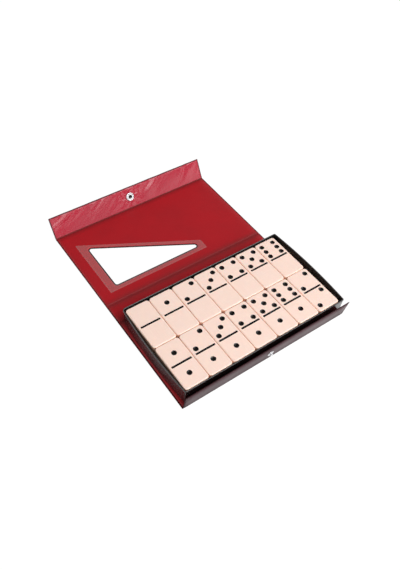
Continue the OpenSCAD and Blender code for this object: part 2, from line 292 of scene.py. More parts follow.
def vector_computed(tree, operation, first, second=(0.0, 0.0, 0.0), result="Vector"):
    """A vector math node's result, as a socket."""
    made = add_node(tree, "ShaderNodeVectorMath", {0: first, 1: second}, operation=operation)
    return made.outputs[result]


def noise_value(tree, point, scale, detail, roughness, distortion=0.0):
    """Noise at a point, as a socket. scale is about the count of its waves in a metre."""
    made = add_node(tree, "ShaderNodeTexNoise",
                    {"Vector": point, "Scale": scale, "Detail": detail, "Roughness": roughness,
                     "Distortion": distortion})
    return made.outputs["Fac"]


def remapped(tree, value, low, high, to_low, to_high):
    """A value carried smoothly from one range to another, as a socket."""
    made = add_node(tree, "ShaderNodeMapRange",
                    {"Value": value, "From Min": low, "From Max": high,
                     "To Min": to_low, "To Max": to_high}, interpolation_type="SMOOTHSTEP")
    return made.outputs["Result"]


def object_point(tree):
    """The point on the surface in metres, as a socket."""
    return add_node(tree, "ShaderNodeTexCoord").outputs["Object"]


def new_group(name, inputs, outputs):
    """A shader node group of plain values, its input sockets, and its output node."""
    group = bpy.data.node_groups.new(name, "ShaderNodeTree")
    for socket, default in inputs.items():
        made = group.interface.new_socket(socket, in_out="INPUT", socket_type="NodeSocketFloat")
        made.default_value = default
    for socket in outputs:
        group.interface.new_socket(socket, in_out="OUTPUT", socket_type="NodeSocketFloat")
    return group, group.nodes.new("NodeGroupInput").outputs, group.nodes.new("NodeGroupOutput")


def place_group(tree, name, **inputs):
    """The outputs of a shared group placed in a material, and built on its first use."""
    group = bpy.data.node_groups.get(name) or GROUP_MAKERS[name]()
    named = {key.replace("_", " ").title(): value for key, value in inputs.items()}
    return add_node(tree, "ShaderNodeGroup", named, node_tree=group).outputs


def vinyl_grain_group():
    """Calendered vinyl: a fine pebble grain over a soft, slow unevenness."""
    group, values, end = new_group(
        "Vinyl Grain", {"Pebble Size": 0.0005, "Pebble Depth": 1.0, "Wave Depth": 1.0},
        ("Height", "Patches"))
    point = object_point(group)
    scale = computed(group, "DIVIDE", 1.0, values["Pebble Size"])
    pebbles = add_node(group, "ShaderNodeTexVoronoi", {"Vector": point, "Scale": scale},
                       feature="SMOOTH_F1").outputs["Distance"]
    threads = noise_value(group, point, scale=1400.0, detail=3.0, roughness=0.6)
    waves = noise_value(group, point, scale=55.0, detail=2.0, roughness=0.45)
    patches = noise_value(group, point, scale=26.0, detail=3.0, roughness=0.55)
    thread_depth = 0.35
    pebble = computed(group, "MULTIPLY", pebbles, values["Pebble Depth"])
    grain = computed(group, "MULTIPLY_ADD", threads, thread_depth, pebble)
    wave = computed(group, "MULTIPLY", waves, values["Wave Depth"])
    feed(group, end, {"Height": computed(group, "ADD", grain, wave), "Patches": patches})
    return group


def handling_marks_group():
    """Rubbing marks in two directions, specks of dust, and the edge mask that a piece carries, which places
    painted shade and highlights, dark edge lines and the film's haze.
    """
    group, values, end = new_group(
        "Handling Marks", {"Scratch Scale": 900.0, "Scratch Amount": 0.3},
        ("Scratches", "Edges", "Dust"))
    point = object_point(group)
    marks = []
    for turn, stretch in ((0.5, (1.0, 0.04, 1.0)), (-0.9, (0.05, 1.0, 1.0))):
        turned = add_node(group, "ShaderNodeMapping",
                          {"Vector": point, "Rotation": (0.0, 0.0, turn), "Scale": stretch})
        lines = noise_value(group, turned.outputs["Vector"], scale=values["Scratch Scale"],
                            detail=2.0, roughness=0.7)
        marks.append(remapped(group, lines, 0.60, 0.72, 0.0, 1.0))
    both = computed(group, "MAXIMUM", *marks)
    scratches = computed(group, "MULTIPLY", both, values["Scratch Amount"])
    edges = add_node(group, "ShaderNodeAttribute", attribute_name=EDGE_MASK).outputs["Fac"]
    specks = noise_value(group, point, scale=2600.0, detail=1.0, roughness=0.5)
    clouds = noise_value(group, point, scale=40.0, detail=2.0, roughness=0.6)
    speck = remapped(group, specks, 0.70, 0.76, 0.0, 1.0)
    dust = computed(group, "MULTIPLY", speck, clouds)
    feed(group, end, {"Scratches": scratches, "Edges": edges, "Dust": dust})
    return group


GROUP_MAKERS = {"Vinyl Grain": vinyl_grain_group, "Handling Marks": handling_marks_group}


def scratched(tree, marks, share, roughness):
    """A roughness raised by a share of the rubbing marks, as a socket."""
    return computed(tree, "MULTIPLY_ADD", marks["Scratches"], share, roughness)


def emptied_tree(owner):
    """The node tree of a material or world, with its own nodes taken out."""
    owner.use_nodes = True
    owner.node_tree.nodes.clear()
    return owner.node_tree


def new_material(name):
    """An empty material with a Principled shader, its tree and its shader."""
    made = bpy.data.materials.new(name)
    tree = emptied_tree(made)
    shader = add_node(tree, "ShaderNodeBsdfPrincipled")
    add_node(tree, "ShaderNodeOutputMaterial", {"Surface": shader.outputs["BSDF"]})
    return made, tree, shader


def bump(tree, height, strength, distance):
    """A normal raised by a height, as a socket."""
    made = add_node(tree, "ShaderNodeBump",
                    {"Height": height, "Strength": strength, "Distance": distance})
    return made.outputs["Normal"]


def vinyl_material(name, base, deep, edge, roughness, grain_depth, gloss):
    """Vinyl sheet: deep colour in the low patches, and dull along its edges and folds, where it is darkened with
    painted shade, partly the sheet's own dark edge.
    """
    made, tree, shader = new_material(name)
    grain = place_group(tree, "Vinyl Grain", pebble_size=0.0006, pebble_depth=0.6, wave_depth=1.2)
    marks = place_group(tree, "Handling Marks", scratch_scale=700.0, scratch_amount=0.35)
    patches = remapped(tree, grain["Patches"], 0.3, 0.7, 0.0, 1.0)
    colour = mixed(tree, patches, opaque(deep), opaque(base))
    # Painted shade: the edge colour is laid in creases and folds, and along free edges, where it is partly the
    # sheet's own dark edge
    colour = tinted(tree, colour, marks["Edges"], share=0.9, tint=edge)
    colour = tinted(tree, colour, marks["Dust"], share=0.12, tint=(0.6, 0.56, 0.53))
    uneven = 0.04
    rough = remapped(tree, grain["Patches"], 0.3, 0.7, roughness + uneven, roughness - uneven)
    rough = scratched(tree, marks, share=0.12, roughness=rough)
    edge_dullness = 0.45
    rough = computed(tree, "MULTIPLY_ADD", marks["Edges"], edge_dullness, rough)
    feed(tree, shader, {"Base Color": colour, "Roughness": rough, "Specular IOR Level": gloss,
                        "Normal": bump(tree, grain["Height"], grain_depth, distance=0.2 * MM)})
    return made


def red_vinyl():
    """Satin red lining over the boards."""
    red = Vector(settings().wallet.red)
    # edge is the colour of the painted shade in creases and along edges
    return vinyl_material("Red Vinyl", red, deep=red * 0.9, edge=red * 0.22, roughness=0.38,
                          grain_depth=0.10, gloss=0.42)


def flap_vinyl():
    """The same red where it is soft and unbacked, and so shinier, and pinker with painted sheen."""
    # Painted sheen: a little green and blue added to the red, for the pinkish veil of reflection on the flap
    red = Vector(settings().wallet.red) + Vector((0.0, 0.006, 0.022))
    # edge is the colour of the painted shade in creases and along edges
    return vinyl_material("Flap Vinyl", red, deep=red * 0.92, edge=red * 0.22, roughness=0.19,
                          grain_depth=0.04, gloss=0.5)


def black_vinyl():
    """Brown-black grained outside."""
    black = Vector(settings().wallet.black)
    # edge is the colour of the painted shade in creases and along edges
    return vinyl_material("Black Vinyl", black, deep=black * 0.75, edge=(0.020, 0.003, 0.004),
                          roughness=0.38, grain_depth=0.14, gloss=0.18)


def board_material():
    """Grey stiffener board with short fibres."""
    made, tree, shader = new_material("Stiffener Board")
    fibres = noise_value(tree, object_point(tree), scale=900.0, detail=4.0, roughness=0.7,
                         distortion=1.5)
    base = Vector(settings().wallet.board)
    feed(tree, shader, {"Base Color": mixed(tree, fibres, opaque(base * 0.8), opaque(base * 1.15)),
                        "Roughness": 0.9,
                        "Normal": bump(tree, fibres, strength=0.3, distance=0.1 * MM)})
    return made


def film_material():
    """Clear film, hazy where it is welded down and most along its own edge."""
    made, tree, shader = new_material("Clear Film")
    marks = place_group(tree, "Handling Marks", scratch_scale=500.0, scratch_amount=0.06)
    haze, least = 0.055, 0.006
    feed(tree, shader, {"Base Color": opaque(settings().window.film), "IOR": 1.46,
                        "Alpha": computed(tree, "MULTIPLY_ADD", marks["Edges"], haze, least),
                        "Roughness": scratched(tree, marks, share=2.0, roughness=0.12)})
    return made


def tray_material():
    """Glossy moulded plastic with fine rubbing marks, and paler on the rim with a painted highlight."""
    made, tree, shader = new_material("Tray Plastic")
    marks = place_group(tree, "Handling Marks", scratch_scale=1100.0, scratch_amount=0.5)
    ripple = noise_value(tree, object_point(tree), scale=45.0, detail=1.0, roughness=0.4)
    plastic = Vector(settings().tray.plastic)
    # Painted highlight: the rim is tinted paler, for the light line along it
    colour = tinted(tree, opaque(plastic), marks["Edges"], share=0.5, tint=plastic * 11.0)
    colour = tinted(tree, colour, marks["Dust"], share=0.012, tint=(0.5, 0.47, 0.45))
    feed(tree, shader, {"Base Color": colour, "IOR": 1.5,
                        "Roughness": scratched(tree, marks, share=0.06, roughness=0.15),
                        "Normal": bump(tree, ripple, strength=0.05, distance=0.4 * MM)})
    return made


def resin_material():
    """Cream-pink domino resin: faint clouds, sides darkened and warmed with painted shade, and a polished skin."""
    made, tree, shader = new_material("Domino Resin")
    domino = settings().domino
    point = object_point(tree)
    clouds = noise_value(tree, point, scale=90.0, detail=4.0, roughness=0.55, distortion=0.6)
    speckle = noise_value(tree, point, scale=1300.0, detail=2.0, roughness=0.6)
    marks = place_group(tree, "Handling Marks", scratch_scale=1500.0, scratch_amount=0.2)
    resin = Vector(domino.resin)
    cloud = remapped(tree, clouds, 0.35, 0.65, 0.0, 1.0)
    colour = mixed(tree, cloud, opaque(resin * 0.99), opaque(resin))
    # Painted shade: the sides are tinted towards the gap colour
    colour = tinted(tree, colour, marks["Edges"], share=0.9, tint=domino.painted_gap_shade)
    feed(tree, shader, {"Base Color": colour, "IOR": 1.5,
                        "Roughness": scratched(tree, marks, share=0.2, roughness=0.26),
                        "Normal": bump(tree, speckle, strength=0.04, distance=0.1 * MM),
                        "Subsurface Weight": 0.1, "Subsurface Radius": (1.0, 0.45, 0.3),
                        "Subsurface Scale": 0.8 * MM})
    return made


def paint_material():
    """Glossy black paint laid in a hollow, a little uneven."""
    made, tree, shader = new_material("Pip Paint")
    flow = noise_value(tree, object_point(tree), scale=800.0, detail=2.0, roughness=0.5)
    paint = Vector(settings().domino.paint)
    feed(tree, shader, {"Base Color": mixed(tree, flow, opaque(paint * 0.6), opaque(paint * 1.6)),
                        "Roughness": remapped(tree, flow, 0.3, 0.7, 0.14, 0.24),
                        "Normal": bump(tree, flow, strength=0.2, distance=0.1 * MM),
                        "IOR": 1.5})
    return made


def snap_axis():
    """A point on the axis of the flap's snap, and the axis."""
    axis = flap_place().to_3x3() @ Vector((0.0, 0.0, 1.0))
    return node_middle("snap_socket"), axis.normalized()


def mouth_shade_mask(tree):
    """One inside the mouth of the flap's snap socket, where painted shade goes, nought elsewhere, as a node
    socket.
    """
    middle, axis = snap_axis()
    beside = vector_computed(tree, "SUBTRACT", object_point(tree), middle)
    across = vector_computed(tree, "CROSS_PRODUCT", beside, axis)
    away = vector_computed(tree, "LENGTH", across, result="Value")
    radius = settings().snap.mouth / 2
    in_mouth = remapped(tree, away, radius * 0.97, radius * 1.15, 1.0, 0.0)
    above = vector_computed(tree, "DOT_PRODUCT", beside, axis, result="Value")
    under, fade = -1.8 * MM, 0.2 * MM
    on_socket = remapped(tree, above, under, under + fade, 0.0, 1.0)
    return computed(tree, "MULTIPLY", in_mouth, on_socket)


def metal_material():
    """Pale nickel plate with fine turning marks, darkened down in the socket's mouth with painted shade."""
    made, tree, shader = new_material("Nickel Plate")
    marks = place_group(tree, "Handling Marks", scratch_scale=2500.0, scratch_amount=0.5)
    tint = noise_value(tree, object_point(tree), scale=600.0, detail=2.0, roughness=0.5)
    base = Vector(slot_colour("snap_metal"))
    colour = mixed(tree, tint, opaque(base * 0.8), opaque(base * 0.98))
    # Painted shade: dark brown inside the socket's mouth
    colour = mixed(tree, mouth_shade_mask(tree), colour, opaque((0.05, 0.04, 0.035)))
    feed(tree, shader, {"Base Color": colour, "Metallic": 1.0,
                        "Roughness": scratched(tree, marks, share=0.2, roughness=0.3)})
    return made


MATERIAL_MAKERS = {
    "Red Vinyl": red_vinyl,
    "Flap Vinyl": flap_vinyl,
    "Black Vinyl": black_vinyl,
    "Stiffener Board": board_material,
    "Clear Film": film_material,
    "Tray Plastic": tray_material,
    "Domino Resin": resin_material,
    "Pip Paint": paint_material,
    "Nickel Plate": metal_material,
}


def material(name):
    """The named material, made on first use."""
    return bpy.data.materials.get(name) or MATERIAL_MAKERS[name]()


# Mesh building

def new_object(name, data):
    """An object of the open scene."""
    made = bpy.data.objects.new(name, data)
    bpy.context.scene.collection.objects.link(made)
    return made


def new_piece(name, points, faces, materials, face_materials=None, edge=None, sharp=35.0):
    """A mesh object in the part's frame, smooth except at edges sharper than an angle in degrees.
    edge holds a value per point, which the materials read as painted shade or highlight, a dark edge line or haze."""
    mesh = bpy.data.meshes.new(name)
    mesh.from_pydata([tuple(p) for p in points], [], faces)
    for m in materials:
        mesh.materials.append(material(m))
    if face_materials:
        mesh.polygons.foreach_set("material_index", face_materials)
    mesh.shade_smooth()
    mesh.set_sharp_from_angle(angle=math.radians(sharp))
    if edge:
        mesh.attributes.new(EDGE_MASK, "FLOAT", "POINT").data.foreach_set("value", edge)
    mesh.update()
    return new_object(name, mesh)


def dress(piece, body, slot, *nodes):
    """Puts a piece on the body that it rides on, and hides the nodes that it stands for. slot is not used."""
    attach(piece, body)
    if nodes:
        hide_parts(*nodes)
    return piece


def refinish(node, name):
    """Gives a node's own solid a finish in place of its plain one."""
    materials = frame["nodes"][node].data.materials
    materials.clear()
    materials.append(material(name))


def loft_faces(rings, count):
    """Quads between neighbouring closed rings of count points each."""
    return [(k * count + i, k * count + (i + 1) % count,
             (k + 1) * count + (i + 1) % count, (k + 1) * count + i)
            for k in range(rings - 1) for i in range(count)]


def grid(xs, ys):
    """Points and quads of a flat grid, anticlockwise seen from above."""
    points = [(x, y) for y in ys for x in xs]
    n = len(xs)
    faces = [(j * n + i, j * n + i + 1, (j + 1) * n + i + 1, (j + 1) * n + i)
             for j in range(len(ys) - 1) for i in range(n - 1)]
    return points, faces


def sides(loop):
    """Each side of a closed loop, as its two ends."""
    return zip(loop, (*loop[1:], loop[0]))


def border_edges(faces):
    """The directed edges that only one face has."""
    edges = {side for f in faces for side in sides(f)}
    return [(a, b) for a, b in edges if (b, a) not in edges]


def closed_shell(faces, count):
    """The faces of a sheet's upper side, with its lower side, count points on, and its walls."""
    under = [tuple(i + count for i in reversed(f)) for f in faces]
    walls = [(b, a, a + count, b + count) for a, b in sorted(border_edges(faces))]
    return [*faces, *under, *walls]


def thick_sheet(name, flat, top, bottom, place, materials, edge=None):
    """A closed sheet over a flat mesh: top and bottom give its two heights at a flat point,
    and place carries it into the part's frame."""
    points, faces = flat
    upper = [place @ Vector((x, y, top(x, y))) for x, y in points]
    lower = [place @ Vector((x, y, bottom(x, y))) for x, y in points]
    values = [edge(x, y) for x, y in points] * 2 if edge else None
    return new_piece(name, upper + lower, closed_shell(faces, len(points)), materials, edge=values)


def vinyl_sheet(panel, body, place, lining, flat, faces, dark_edges_and_shade, red="Red Vinyl"):
    """A panel's red lining or black outside, between the heights of its two faces."""
    colour, kind, slot, node = (("red", red, "lining_vinyl", "lining") if lining else
                                ("black", "Black Vinyl", "outer_vinyl", "outer_skin"))
    piece = thick_sheet(f"{panel}_{colour}_sheet", flat, *faces, place, [kind], dark_edges_and_shade)
    return dress(piece, body, slot, f"{panel}_{node}")


def graded(length, start_steps, end_steps, spacing):
    """Places along a length: steps from its start, even places, and steps up to its end."""
    first, last = start_steps[-1], length - end_steps[-1]
    count = max(1, round((last - first) / spacing))
    middle = [first + (last - first) * i / count for i in range(1, count)]
    return [*start_steps, *middle, *[length - s for s in reversed(end_steps)]]


def arc_points(centre, radius, start, turn, count):
    """Points along an arc, its ends included, with angles in degrees."""
    angles = [math.radians(start + turn * i / count) for i in range(count + 1)]
    return [(centre[0] + radius * math.cos(a), centre[1] + radius * math.sin(a)) for a in angles]


# The wallet's panels

# How dark the painted shade in a flat crease and a folded one is, as a share of the edge's colour
CREASE_SHADE, FOLD_SHADE = 0.6, 0.8
# Where the dark line of a free edge ends, and how fast; the line is partly painted shade
BORDER_LINE, BORDER_FADE = 0.9 * MM, 0.6 * MM

Panel = namedtuple("Panel", "name body place length end")


def panel_place(origin, tilt, flipped=False):
    """From a panel's own frame, across, along and towards the lining, to the part's frame."""
    place = Matrix.Translation(origin) @ Matrix.Rotation(tilt, 4, "X")
    if flipped:
        place = place @ Matrix.Rotation(math.pi, 4, "Z")
    return place


def front_length():
    """Length of the front panel from its crease to its free edge."""
    top = node_box("front_outer_skin")[1].z - HINGES["front_hinge"].z
    return top / math.cos(settings().wallet.front_lean)


def flap_length():
    """Length of the flap from its crease to its free edge."""
    top = node_box("flap_outer_skin")[1].z - HINGES["flap_hinge"].z
    return top / math.sin(settings().wallet.flap_rise)


def front_place():
    """From the front panel's own frame to the part's."""
    lean = settings().wallet.front_lean
    return panel_place(HINGES["front_hinge"], lean - math.pi / 2, flipped=True)


def flap_place():
    """From the flap's own frame to the part's."""
    return panel_place(HINGES["flap_hinge"], settings().wallet.flap_rise)


def panels():
    """The four panels with a board inside."""
    front, spine, lid, flap = (HINGES[h] for h in
                               ("front_hinge", "spine_hinge", "lid_hinge", "flap_hinge"))
    return [
        Panel("front", "front_panel", front_place(), front_length(), "free"),
        Panel("bottom", "bottom", panel_place(front, 0.0), spine.y - front.y, "crease"),
        Panel("spine", "spine", panel_place(spine, 0.0), lid.y - spine.y, "crease"),
        Panel("lid", "lid", panel_place(lid, 0.0), flap.y - lid.y, "crease"),
    ]


def lid_panel():
    """The panel with the window."""
    return panels()[-1]


def half_width():
    """Half the wallet's width."""
    return node_size("bottom_outer_skin").x / 2


def edge_steps(kind, inset):
    """Places beside a panel's edge where its sheet bends."""
    w = settings().wallet
    if kind == "crease":
        return [w.web + w.web_ramp * t for t in (0.0, 0.15, 0.3, 0.5, 0.7, 0.85, 1.0)]
    rolled = [inset + step * MM for step in (0.0, 0.06, 0.2, 0.45)]
    return rolled + [w.border + w.border_ramp * t for t in (-0.45, -0.2, 0.0, 0.25, 0.5, 0.75, 1.0)]


def rise(kind, distance):
    """How far a sheet has risen from its thin edge to the panel's full thickness."""
    w = settings().wallet
    if kind == "crease":
        return ramp(distance, w.web, w.web_ramp)
    return ramp(distance, w.border, w.border_ramp)


def weld_groove(distance):
    """Depth of the pressed line at the foot of a welded border."""
    depth, width, middle = 0.09 * MM, 0.35 * MM, settings().wallet.border - 0.05 * MM
    return depth * math.exp(-((distance - middle) / width) ** 2)


def rounded_edge(distance):
    """How far a sheet's cut edge is rounded away."""
    depth, radius = 0.12 * MM, 0.2 * MM
    return depth * (1.0 - ramp(distance, 0.0, radius))


def panel_half_thickness(panel, inset):
    """A function of a point on the panel: height of its surface over the middle plane."""
    w = settings().wallet
    side, thin, full = half_width(), w.sheet, w.panel / 2

    def height(x, y):
        across = side - abs(x)
        end = panel.length - y
        lift = min(rise("free", across), rise("crease", y), rise(panel.end, end))
        free = min(across, end) if panel.end == "free" else across
        return thin + (full - thin) * lift - weld_groove(free) - rounded_edge(free - inset)

    return height


def edge_line(distance):
    """How dark a sheet is beside its free edge: a dark line that is partly painted shade."""
    return 1.0 - ramp(distance, BORDER_LINE, BORDER_FADE)


def edge_line_and_crease_shade(panel):
    """The dark line along a panel's free edges, partly painted shade, and the softer painted shade down in its
    creases.
    """
    web, side = settings().wallet.web, half_width()

    def edge_and_crease_shade(x, y):
        free, fold = side - abs(x), y
        if panel.end == "free":
            free = min(free, panel.length - y)
        else:
            fold = min(fold, panel.length - y)
        return max(edge_line(free), CREASE_SHADE * (1.0 - ramp(fold, 1.4 * web, 1.2 * web)))

    return edge_and_crease_shade


def panel_grid(panel, inset):
    """Places across and along a panel's sheet, close together beside its edges."""
    side = half_width()
    across = edge_steps("free", inset)
    xs = [x - side for x in graded(2 * side, across, across, 6 * MM)]
    return xs, graded(panel.length, edge_steps("crease", 0.0), edge_steps(panel.end, inset), 5 * MM)


# The window

def window_centres():
    """Centres of the opening's corner arcs, in the lid's own frame."""
    v = settings().window
    r = v.radius
    return [Vector((v.left + r, v.near + r)), Vector((v.right - r, v.near + r)),
            Vector((v.left + r, v.far - r))]


def window_distance(x, y):
    """Distance of a flat point outside the opening's edge, negative inside."""
    centres = window_centres()
    p = Vector((x, y))
    inside, nearest = True, math.inf
    for a, b in sides(centres):
        along = b - a
        t = min(max((p - a).dot(along) / along.length_squared, 0.0), 1.0)
        nearest = min(nearest, (p - a - along * t).length)
        if along.x * (p - a).y - along.y * (p - a).x < 0:
            inside = False
    return (-nearest if inside else nearest) - settings().window.radius


def corner_triples(corners):
    """Each corner of a loop between the one before and the one after it."""
    return zip((corners[-1], *corners), corners, (*corners[1:], corners[0]))


def rounded_loop(corners, radius, count):
    """A polygon of anticlockwise corners with each one rounded by an arc round its own centre."""
    loop = []
    for before, here, after in corner_triples(corners):
        start = math.degrees(math.atan2(-(here - before).x, (here - before).y))
        end = math.degrees(math.atan2(-(after - here).x, (after - here).y))
        loop += arc_points(here, radius, start, (end - start) % 360.0, count)
    return loop


def window_loop(grow):
    """The opening's edge, moved outwards by grow."""
    spacing = 4 * MM
    loop = rounded_loop(window_centres(), settings().window.radius + grow, 12)
    points = []
    for a, b in sides(loop):
        parts = max(1, round(math.dist(a, b) / spacing))
        points += [(a[0] + (b[0] - a[0]) * i / parts, a[1] + (b[1] - a[1]) * i / parts)
                   for i in range(parts)]
    return points


def is_inside(x, y, loop):
    """Whether a flat point lies inside a loop, by counting the sides to its right."""
    crossings = sum(1 for (ax, ay), (bx, by) in sides(loop)
                    if (ay > y) != (by > y) and x < ax + (y - ay) * (bx - ax) / (by - ay))
    return crossings % 2 == 1


def flat_key(point, digits):
    """A flat point as a key that bears small differences."""
    return round(point[0], digits), round(point[1], digits)


def triangulated(outline, loops, holes, extra):
    """Triangles inside an outline and outside its holes, through loops and extra points."""
    points, edges = [], []
    for loop in (outline, *holes, *loops):
        first, count = len(points), len(loop)
        points += loop
        edges += [(first + i, first + (i + 1) % count) for i in range(count)]
    points += extra
    all_triangles, closeness = 0, 1e-7
    result = delaunay_2d_cdt([Vector(p) for p in points], edges, [], all_triangles, closeness)
    flat = [tuple(v) for v in result[0]]
    faces = []
    for f in result[2]:
        x = sum(flat[i][0] for i in f) / len(f)
        y = sum(flat[i][1] for i in f) / len(f)
        if is_inside(x, y, outline) and not any(is_inside(x, y, hole) for hole in holes):
            faces.append(tuple(f))
    return flat, faces


def windowed_grid(panel, inset, cut):
    """The lid's flat mesh with its opening, cut moved outwards from the opening's edge."""
    xs, ys = panel_grid(panel, inset)
    reaches = [reach * MM for reach in (0.15, 0.35, 0.6, 0.9, 1.2, 1.6, 3)]
    loops = [window_loop(cut + r) for r in reaches]
    outline = ([(x, ys[0]) for x in xs[:-1]] + [(xs[-1], y) for y in ys[:-1]]
               + [(x, ys[-1]) for x in reversed(xs[1:])] + [(xs[0], y) for y in reversed(ys[1:])])
    clear = cut + reaches[-1] + 1.5 * MM
    extra = [(x, y) for y in ys[1:-1] for x in xs[1:-1] if window_distance(x, y) > clear]
    return triangulated(outline, loops, [window_loop(cut)], extra)


def panel_sheet(panel, lining):
    """One vinyl sheet of a panel: the red lining, or the black outside."""
    w = settings().wallet
    inset = w.lining_inset if lining else 0.0
    height = panel_half_thickness(panel, inset)
    edge_and_crease_shade = edge_line_and_crease_shade(panel)
    windowed = panel.name == "lid"
    cut = 0.1 * MM if lining else -settings().window.black_ledge
    flat = windowed_grid(panel, inset, cut) if windowed else grid(*panel_grid(panel, inset))
    thin = w.panel / 2 - w.sheet
    slope_start, slope, shade_fade = 0.35 * MM, 1.1 * MM, 0.6 * MM

    def surface(x, y):
        z = height(x, y)
        if windowed:
            beside = window_distance(x, y)
            z -= thin * (1.0 - ramp(beside, slope_start, slope)) + rounded_edge(beside - cut)
        return z

    # Painted shade: the edge lines and creases, and a dark line on the black ledge round the opening
    def dark_edges_and_shade(x, y):
        if windowed and not lining:
            return max(edge_and_crease_shade(x, y), 1.0 - ramp(window_distance(x, y), 0.0, shade_fade))
        return edge_and_crease_shade(x, y)

    faces = ((surface, lambda x, y: surface(x, y) - w.sheet) if lining else
             (lambda x, y: w.sheet - surface(x, y), lambda x, y: -surface(x, y)))
    return vinyl_sheet(panel.name, panel.body, panel.place, lining, flat, faces, dark_edges_and_shade)


def lid_board(panel):
    """The lid's stiffener, which stops short of the welded edge round the opening."""
    low, high = (panel.place.inverted() @ c for c in node_box("lid_board"))
    corners = [(low.x, low.y), (high.x, low.y), (high.x, high.y), (low.x, high.y)]
    weld = 1.6 * MM
    flat = triangulated(corners, [], [window_loop(weld)], [])
    piece = thick_sheet("lid_stiffener", flat, lambda x, y: high.z, lambda x, y: low.z,
                        panel.place, ["Stiffener Board"])
    return dress(piece, panel.body, "greyboard", "lid_board")


def film_outline(panel):
    """The film's four corners in its panel's own frame, and its lowest and highest point."""
    low, high = (panel.place.inverted() @ c for c in node_box("window_film"))
    tip = low.y + film_tip()
    return [Vector((low.x, low.y)), Vector((high.x, low.y)), Vector((high.x, tip)),
            Vector((low.x, high.y))], low.z, high.z


def film_tip():
    """Length of the film's short right side."""
    high = node_box("window_film")[1]
    side = [v.co.y for v in frame["nodes"]["window_film"].data.vertices
            if abs(v.co.x - high.x) < 0.01 * MM]
    return max(side) - min(side)


def inset_corners(corners, distance):
    """A convex polygon's corners, moved in from each side by a distance."""
    moved = []
    for before, here, after in corner_triples(corners):
        a = (here - before).normalized()
        b = (after - here).normalized()
        half = math.tan((math.pi - a.angle(b)) / 2)
        moved.append(here + Vector((-a.y, a.x)) * distance - a * distance / half)
    return moved


def window_film(panel):
    """Clear film welded over the opening. Its edge values say how hazy it is: clear over the
    opening, hazy on the lining, and most along its own edge."""
    corners, low, high = film_outline(panel)
    radius = settings().window.film_radius
    reaches = [reach * MM for reach in (0.0, 0.12, 0.7, 0.9)]
    border, on_lining, rounding, lift, beside = 0.8 * MM, 0.65, 0.06 * MM, 0.03 * MM, 0.05 * MM
    loops = [rounded_loop(inset_corners(corners, radius + reach), radius, 6) for reach in reaches]
    distances = {flat_key(p, 7): reach for loop, reach in zip(loops, reaches) for p in loop}

    def reach_of(x, y):
        return distances.get(flat_key((x, y), 7), math.inf)

    def top(x, y):
        return high - (rounding if reach_of(x, y) == 0.0 else 0.0)

    def haze(x, y):
        if reach_of(x, y) < border:
            return 1.0
        return on_lining if window_distance(x, y) > 0.0 else 0.0

    bounds = [window_loop(beside), window_loop(-beside)]
    flat = triangulated(loops[0], [*loops[1:], *bounds], [], [])
    piece = thick_sheet("window_clear_film", flat, top, lambda x, y: low + lift,
                        panel.place, ["Clear Film"], haze)
    return dress(piece, "lid", "clear_film", "window_film")


# Creases

def crease_strip(name, bodies, origin, first, second, lining):
    """A folded web of one sheet. first and second are the tilts of the
    panels before and behind the crease."""
    w = settings().wallet
    low, high = (0.0, w.sheet) if lining else (-w.sheet, 0.0)
    side = half_width() - (w.lining_inset if lining else 0.0)
    turn = second - first
    steps, columns = 16, 30
    profile = []
    for t in (i / steps for i in range(steps + 1)):
        if turn:
            radius = w.web / math.tan(turn / 2)
            local = Vector((radius * math.sin(turn * t) - w.web, radius * (1 - math.cos(turn * t))))
        else:
            local = Vector(((2 * t - 1) * w.web, 0.0))
        angle = first + turn * t
        profile.append((Matrix.Rotation(first, 2) @ local,
                        Vector((-math.sin(angle), math.cos(angle)))))
    xs = [side * (2 * i / columns - 1) for i in range(columns + 1)]
    points = [(x, origin.y + y, origin.z + z) for height in (high, low)
              for y, z in (middle + normal * height for middle, normal in profile) for x in xs]
    rows = grid(xs, range(steps + 1))[1]
    colour, kind, slot = (("red", "Red Vinyl", "lining_vinyl") if lining else
                          ("black", "Black Vinyl", "outer_vinyl"))
    # Painted shade: the whole web is darkened, for the shade down in the crease
    shade = FOLD_SHADE if turn else CREASE_SHADE
    piece = new_piece(f"{name}_{colour}", points, closed_shell(rows, len(points) // 2), [kind],
                      edge=[shade] * len(points))
    start, end = ((0.0, origin.y + middle.x, origin.z + middle.y)
                  for middle in (profile[0][0], profile[-1][0]))
    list(bodies)
    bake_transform(piece)
    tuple(start)
    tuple(end)
    return piece


def crease_list():
    """Each crease's name, bodies, place, and the tilts of the panels before and behind it."""
    w = settings().wallet
    upright = w.front_lean - math.pi / 2
    return [
        ("front_crease", ("front_panel", "bottom"), HINGES["front_hinge"], upright, 0.0),
        ("spine_crease", ("bottom", "spine"), HINGES["spine_hinge"], 0.0, 0.0),
        ("lid_crease", ("spine", "lid"), HINGES["lid_hinge"], 0.0, 0.0),
        ("flap_crease", ("lid", "flap"), HINGES["flap_hinge"], 0.0, w.flap_rise),
    ]


# The flap

def socket_reach():
    """Distance of the snap from the flap's crease."""
    return (flap_place().inverted() @ node_middle("snap_socket")).y


def sheet_noise(x, y, length, width, layer):
    """Slow noise over a flat point, with its size along X and Y. Each layer has its own."""
    return noise.noise(Vector((x / length, y / width, layer)))


